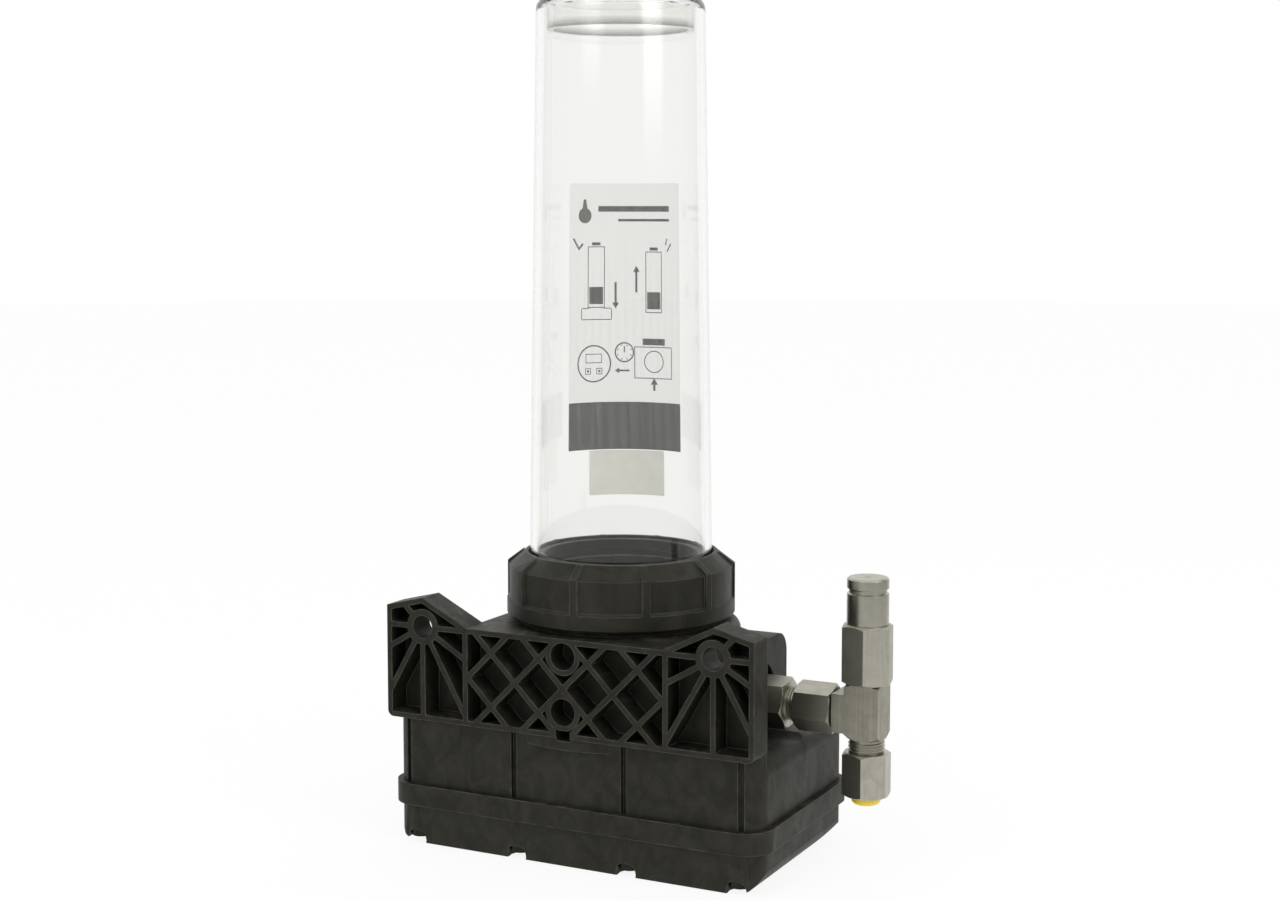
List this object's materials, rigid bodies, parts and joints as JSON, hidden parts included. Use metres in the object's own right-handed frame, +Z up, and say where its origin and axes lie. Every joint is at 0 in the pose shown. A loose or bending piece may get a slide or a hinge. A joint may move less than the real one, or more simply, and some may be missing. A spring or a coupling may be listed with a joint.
{
  "type": "electric grease pump",
  "caption": "Electric grease pump with a ribbed wall-mounting plate, a screw-in cartridge socket under a clear cover tube, and a side outlet tee with a pressure-relief valve.",
  "frame": {"origin": "centre of the base, on the reservoir axis", "axes": "+Z up along the reservoir, +Y out of the mounting face, the outlet fittings on -X"},
  "size_m": [0.1872, 0.1017, 0.32],
  "materials": {
    "black_plastic": "moulded, fine grain",
    "clear_plastic": "clear",
    "plated_steel": "zinc plated, satin",
    "dark_steel": "oiled",
    "seal_rubber": "matt",
    "copper": "plain",
    "brass": "plain",
    "yellow_plastic": "moulded",
    "white_plastic": "moulded",
    "circuit_board": "lacquered",
    "panel_plastic": "satin",
    "window": "clear",
    "display": "satin",
    "key_rubber": "satin"
  },
  "bodies": {
    "housing": {"upper_housing": "black_plastic", "cartridge_neck": "black_plastic", "bottom_cover": "black_plastic", "cover_gasket": "seal_rubber", "cover_screws": "dark_steel", "tube_seal": "seal_rubber", "pump_element": "plated_steel", "element_washer": "copper", "pump_piston": "plated_steel", "piston_spring": "dark_steel", "check_spring": "dark_steel", "union_nut": "plated_steel", "tee_body": "plated_steel", "relief_body": "plated_steel", "relief_cap": "plated_steel", "relief_spring": "dark_steel", "outlet_nut": "plated_steel", "cutting_ring": "dark_steel", "transport_plug": "yellow_plastic", "shaft_bearing": "plated_steel", "shaft_seal": "seal_rubber", "lower_bush": "brass", "motor_plate": "plated_steel", "plate_screws": "dark_steel", "motor_can": "dark_steel", "motor_screws": "dark_steel", "control_board": "circuit_board", "board_screws": "dark_steel", "panel_bezel": "panel_plastic", "display_window": "window", "display_module": "display", "display_board": "circuit_board", "power_inlet": "panel_plastic", "inlet_nut": "dark_steel", "inlet_pins": "brass"},
    "cover": {"cover_tube": "clear_plastic"},
    "ring": {"retaining_ring": "black_plastic"},
    "crank": {"eccentric_shaft": "plated_steel", "eccentric_ring": "dark_steel", "drive_gear": "white_plastic"},
    "motor_rotor": {"motor_shaft": "plated_steel", "motor_pinion": "brass"},
    "left_key": {"left_key": "key_rubber"},
    "right_key": {"right_key": "key_rubber"},
    "relief_poppet": {"relief_poppet": "plated_steel"},
    "check_ball": {"check_ball": "plated_steel"}
  },
  "joints": [
    {"name": "cover_lift", "type": "slide", "parent": "housing", "child": "cover", "axis": [0, 0, 1], "range_m": [0, 0.01]},
    {"name": "ring_turn", "type": "hinge", "parent": "cover", "child": "ring", "pos_m": [0, 0, 0.1], "axis": [0, 0, 1], "range_deg": [0, 720]},
    {"name": "eccentric_spin", "type": "hinge", "parent": "housing", "child": "crank", "pos_m": [0, 0, 0.04], "axis": [0, 0, 1], "continuous": true},
    {"name": "motor_spin", "type": "hinge", "parent": "housing", "child": "motor_rotor", "pos_m": [0.024, 0, 0.035], "axis": [0, 0, 1], "continuous": true},
    {"name": "left_key_press", "type": "slide", "parent": "housing", "child": "left_key", "axis": [0, 1, 0], "range_m": [0, 0.0008], "stiffness_N_per_m": 600},
    {"name": "right_key_press", "type": "slide", "parent": "housing", "child": "right_key", "axis": [0, 1, 0], "range_m": [0, 0.0008], "stiffness_N_per_m": 600},
    {"name": "relief_lift", "type": "slide", "parent": "housing", "child": "relief_poppet", "axis": [0, 0, 1], "range_m": [0, 0.0012], "stiffness_N_per_m": 1000, "deforming": ["relief_spring"]},
    {"name": "check_lift", "type": "slide", "parent": "housing", "child": "check_ball", "axis": [-1, 0, 0], "range_m": [0, 0.0008], "stiffness_N_per_m": 400, "deforming": ["check_spring"]}
  ],
  "couplings": [
    {"joint": "ring_turn", "follows": "cover_lift", "rad_per_m": 1256.6},
    {"joint": "motor_spin", "follows": "eccentric_spin", "ratio": -2.4286}
  ]
}
